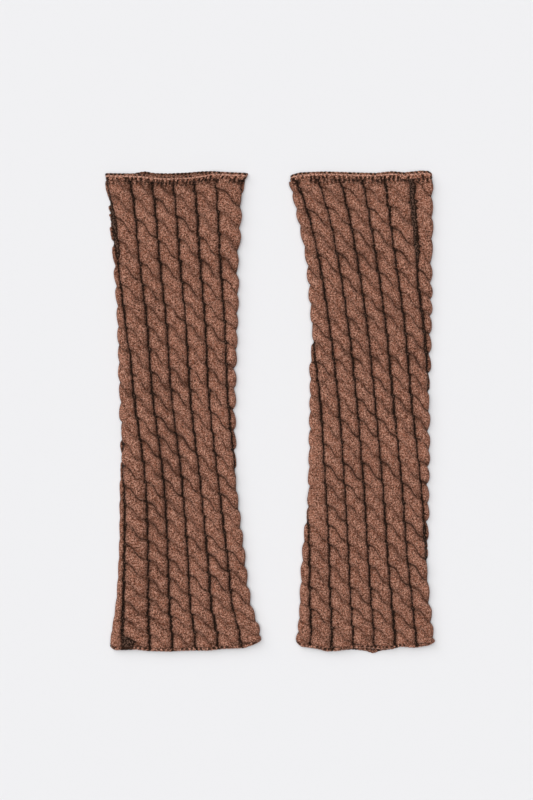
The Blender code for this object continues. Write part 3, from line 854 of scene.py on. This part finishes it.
def woolShader(name):
    material = bpy.data.materials.new(name)
    material.use_nodes = True
    tree = material.node_tree
    shader = tree.nodes["Principled BSDF"]
    shader.inputs["Roughness"].default_value = woolLook["roughness"]
    shader.inputs["Sheen Weight"].default_value = woolLook["sheen"]
    shader.inputs["Sheen Roughness"].default_value = woolLook["sheenRoughness"]
    shader.inputs["Specular IOR Level"].default_value = woolLook["specular"]
    return material, tree, shader, addNode(tree, "ShaderNodeTexCoord").outputs["Object"]


def stitchBump(tree, shader, height, distance):
    bump = addNode(tree, "ShaderNodeBump", {
        "Height": height, "Strength": woolLook["stitchBump"], "Distance": distance,
    })
    tree.links.new(bump.outputs[0], shader.inputs["Normal"])


# colours laid over a first one in turn, each by its own share
def laidOver(tree, colour, layers):
    for share, layer in layers:
        colour = mixColours(tree, share, colour, layer)
    return colour


# brown wool: deep to pale in patches, then light flecks and dark flecks over it
def heatherColour(tree, heather, place):
    yarn = addNode(tree, "ShaderNodeGroup", {"Place": place}, node_tree=heather).outputs
    return laidOver(tree, woolLook["deepBrown"], [
        (mapRange(tree, yarn["Patch"], 0.3, 0.7), woolLook["paleBrown"]),
        (times(tree, yarn["Light"], woolLook["lightShare"]), woolLook["lightFibre"]),
        (times(tree, yarn["Dark"], woolLook["darkShare"]), woolLook["darkFibreAndShade"]),
    ])


# painted shadow: a dark line down in some grooves. Each groove has its own stretch of line, and some have a
# short
# tick where they leave the channel: max(tick, stretch * strength) where the groove's middle is near
def paintedGrooveShadow(tree, strandUV, roughEdge):
    strand = splitVector(tree, strandUV)
    share = maths(tree, "FRACT", strand[0])
    groove = maths(tree, "ROUND", strand[1])
    where, howLong, howStrong = cellValues(tree, maths(tree, "FLOOR", strand[0]), groove)
    fromGroove = farFrom(tree, strand[1], groove)
    thin = mapRange(tree, maths(tree, "MULTIPLY_ADD", roughEdge, 0.12, fromGroove), 0.075, 0.022)
    middle = mapRange(tree, where, 0.0, 1.0, 0.35, 0.7)
    reach = mapRange(tree, howLong, 0.0, 1.0, 0.10, 0.42)
    beyond = minus(tree, farFrom(tree, share, middle), reach)
    grooveShadowLine = mapRange(tree, maths(tree, "MULTIPLY_ADD", roughEdge, 0.25, beyond), 0.06, -0.04)
    grooveShadowLine = times(tree, grooveShadowLine, mapRange(tree, howStrong, 0.15, 0.85, 0.25, 1.0))
    tickReach = mapRange(tree, howStrong, 1.0, 0.3, 0.26, 0.02)
    tick = mapRange(tree, minus(tree, share, tickReach), 0.05, -0.05)
    return times(tree, thin, maths(tree, "MAXIMUM", grooveShadowLine, tick))


# the cables' wool: heathered brown stitches, each leg of yarn with its own tone, painted shade in the
# stitches' gaps, down in the grooves and creases and beside the bands, a painted shadow line in some
# grooves, the welt's dashes at the top, and black yarn along the channels, with specks where a channel is
# wide
def cableWool(stitches, heather, marks):
    material, tree, shader, place = woolShader("cableWool")
    light, dark, blackYarnAndShadow = woolLook["lightFibre"], woolLook["darkFibreAndShade"], woolLook["blackYarnAndShadow"]
    stitch = addNode(tree, "ShaderNodeGroup", {"Stitch": uvMap(tree, "stitchUV")}, node_tree=stitches)
    tone = stitch.outputs["Tone"]
    # painted shade in the gaps between the stitches' legs of yarn
    gap = times(tree, maths(tree, "POWER", stitch.outputs["Gap"], 2.0), woolLook["gapShadeShare"])
    # painted shade: the lower the height attribute, the darker the wool
    paintedDepthShade = mapRange(tree, attribute(tree, "height"), woolLook["litFrom"], 0.0)
    paintedDepthShade = times(tree, maths(tree, "POWER", paintedDepthShade, woolLook["paintedShadeCurve"]), woolLook["paintedShadeShare"])
    roughEdge = minus(tree, noise(tree, place, 620.0), 0.5)
    # painted shadow line in some grooves, weaker where a cable is calm
    grooveShadowLine = times(tree, paintedGrooveShadow(tree, uvMap(tree, "strandUV"), roughEdge), woolLook["grooveShadowShare"])
    grooveShadowLine = times(tree, grooveShadowLine, minus(tree, 1.0, attribute(tree, "calm")))
    ribUV = uvMap(tree, "ribUV")
    markInputs = {"Rib": ribUV, "Rough Edge": times(tree, roughEdge, 1.2)}
    mark = addNode(tree, "ShaderNodeGroup", markInputs, node_tree=marks)
    toWelt = mapRange(tree, splitVector(tree, ribUV)[1], -0.9, -0.55, 0.0, woolLook["weltDashShare"])
    distance = attribute(tree, "fromChannel")
    wide = mapRange(tree, distance, -0.8, -1.3)
    specks = mapRange(tree, noise(tree, place, 780.0, 1.0, 0.5), 0.47, 0.58)
    channelBlack = mixColours(tree, times(tree, wide, specks), blackYarnAndShadow, woolLook["blackSpeck"])
    ragged = maths(tree, "MULTIPLY_ADD", roughEdge, woolLook["raggedYarn"], distance)
    colour = laidOver(tree, heatherColour(tree, heather, place), [
        (mapRange(tree, tone, 0.5, 1.0, 0.0, woolLook["brightStitch"]), light),
        (mapRange(tree, tone, 0.5, 0.0, 0.0, woolLook["dullStitch"]), dark),
        (gap, dark), (paintedDepthShade, dark), (grooveShadowLine, blackYarnAndShadow),
        (times(tree, mark.outputs["Dash"], toWelt), blackYarnAndShadow),
        (mapRange(tree, ragged, 0.35, -0.15), channelBlack),
    ])
    tree.links.new(colour, shader.inputs["Base Color"])
    pile = maths(tree, "MULTIPLY_ADD", noise(tree, place, 900.0, 2.0, 0.7), 0.8, stitch.outputs["Height"])
    stitchBump(tree, shader, pile, 0.45 * mm)
    return material


# a band's wool: brown ribs with the band's marks, painted shade on the rim beyond the chain, on the inner
# side and on the rim underneath, and the black yarn of the channels where it runs into the band
def bandWool(heather, marks, name, band):
    material, tree, shader, place = woolShader(name)
    light, dark, blackYarnAndShadow = woolLook["lightFibre"], woolLook["darkFibreAndShade"], woolLook["blackYarnAndShadow"]
    grain = noise(tree, place, 1000.0, 1.0, 0.5)
    hidden = attribute(tree, "hidden")
    ribUV = uvMap(tree, "ribUV")
    roughEdge = minus(tree, noise(tree, place, 560.0), 0.5)
    mark = addNode(tree, "ShaderNodeGroup", {
        "Rib": ribUV, "Rough Edge": roughEdge, "Rows": band["markRows"], "Chain": band["chainAt"],
    }, node_tree=marks).outputs
    toRim = splitVector(tree, ribUV)[1]
    chain = times(tree, mark["Chain"], mapRange(tree, grain, 0.3, 0.6, 0.3, 1.0))
    chain = times(tree, chain, band["chainShare"])
    # the pale chain is dimmed under the painted shade
    chain = times(tree, chain, minus(tree, 1.0, times(tree, hidden, 0.8)))
    ragged = maths(tree, "MULTIPLY_ADD", roughEdge, woolLook["raggedYarn"], attribute(tree, "fromChannel"))
    # painted shade on the inner side, the rim underneath and the rim beyond the chain
    colour = laidOver(tree, heatherColour(tree, heather, place), [
        (times(tree, mapRange(tree, grain, 0.5, 0.62), woolLook["bandGrainPale"]), light),
        (times(tree, mapRange(tree, grain, 0.52, 0.38), woolLook["bandGrainDull"]), dark),
        (times(tree, hidden, woolLook["insideShade"]), dark),
        (mapRange(tree, toRim, band["chainAt"] + 0.05, band["chainAt"] + 0.2, 0.0, band["rimShade"]), dark),
        (times(tree, mark["Dash"], band["dashShare"]), blackYarnAndShadow),
        (chain, woolLook["chainFibre"]),
        (times(tree, mark["Spot"], band["spotShare"]), blackYarnAndShadow),
        (times(tree, mapRange(tree, ragged, 0.3, -0.2), band["channelShare"]), blackYarnAndShadow),
    ])
    tree.links.new(colour, shader.inputs["Base Color"])
    stitchBump(tree, shader, noise(tree, place, 1000.0, 2.0, 0.7), 0.4 * mm)
    return material


stitches, heather, marks = stitchGroup(), heatherGroup(), bandGroup()
wool = cableWool(stitches, heather, marks)
weltWool = bandWool(heather, marks, "weltWool", weltBand)
castOffWool = bandWool(heather, marks, "castOffWool", castOffBand)
print("materials made")


# one leg: its tube, its welt and its cast-off edge
def makeLeg(leg):
    side = leg["name"]
    tube = knittedTube(leg, side + "Tube", wool)
    welt = knittedBand(leg, side + "Welt", weltBand, weltWool)
    castOff = knittedBand(leg, side + "CastOff", castOffBand, castOffWool)
    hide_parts(side + "_tube")
    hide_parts(side + "_top_welt")
    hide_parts(side + "_cast_off_edge")
    print(side, "leg made")


floorLook = {
    "half": 15.0, "top": -0.3 * mm, "colour": (0.80, 0.80, 0.815, 1.0), "roughness": 0.9,
}


def makeStage():
    floorMaterial = bpy.data.materials.new("paleTable")
    floorMaterial.use_nodes = True
    shader = floorMaterial.node_tree.nodes["Principled BSDF"]
    shader.inputs["Base Color"].default_value = floorLook["colour"]
    shader.inputs["Roughness"].default_value = floorLook["roughness"]
    half, top = floorLook["half"], floorLook["top"]
    mesh = bpy.data.meshes.new("floor")
    mesh.from_pydata(
        [(-half, -half, top), (half, -half, top), (half, half, top), (-half, half, top)],
        [], [(0, 1, 2, 3)],
    )
    mesh.materials.append(floorMaterial)
    floor = bpy.data.objects.new("floor", mesh)
    bpy.context.scene.collection.objects.link(floor)


studio = {
    "cameraHeight": 1.65, "viewCentre": (-2.6 * mm, 11.0 * mm), "viewHeight": 0.70, "sensor": 36.0,
    "sideFrom": (-0.75, 0.75, 1.05), "sideSize": 60.0, "sidePower": 1.5,
    "overheadSize": 50.0, "overheadPower": 1.85,
    "sky": (1.0, 1.0, 1.0), "skyStrength": 0.17,
}


# a wide soft sun, turned to shine from the given direction: tilt = atan2(across, up)
def addSun(name, comesFrom, size, power):
    light = bpy.data.lights.new(name, "SUN")
    light.angle = radians(size)
    light.energy = power
    lamp = bpy.data.objects.new(name, light)
    tilt = np.arctan2(np.hypot(comesFrom[0], comesFrom[1]), comesFrom[2])
    lamp.rotation_euler = (float(tilt), 0.0, float(np.arctan2(comesFrom[1], comesFrom[0])) + pi / 2)
    bpy.context.scene.collection.objects.link(lamp)


# the lights and a camera straight above: focal length = sensor * height / view height
def makeStudio():
    scene = bpy.context.scene
    addSun("sideLight", studio["sideFrom"], studio["sideSize"], studio["sidePower"])
    addSun("overheadLight", (0.0, 0.0, 1.0), studio["overheadSize"], studio["overheadPower"])
    world = bpy.data.worlds.new("softStudio")
    world.use_nodes = True
    background = world.node_tree.nodes["Background"]
    background.inputs[0].default_value = (*studio["sky"], 1.0)
    background.inputs[1].default_value = studio["skyStrength"]
    scene.world = world
    scene.view_settings.view_transform = "Standard"
    camera = bpy.data.cameras.new("camera")
    camera.sensor_fit = "VERTICAL"
    camera.sensor_height = studio["sensor"]
    camera.sensor_width = studio["sensor"]
    camera.lens = studio["sensor"] * studio["cameraHeight"] / studio["viewHeight"]
    eye = bpy.data.objects.new("camera", camera)
    eye.location = (*studio["viewCentre"], studio["cameraHeight"])
    scene.collection.objects.link(eye)
    scene.camera = eye


makeStage()
makeStudio()
print("stage, lights and camera made")
makeLeg(leftLeg)
makeLeg(rightLeg)
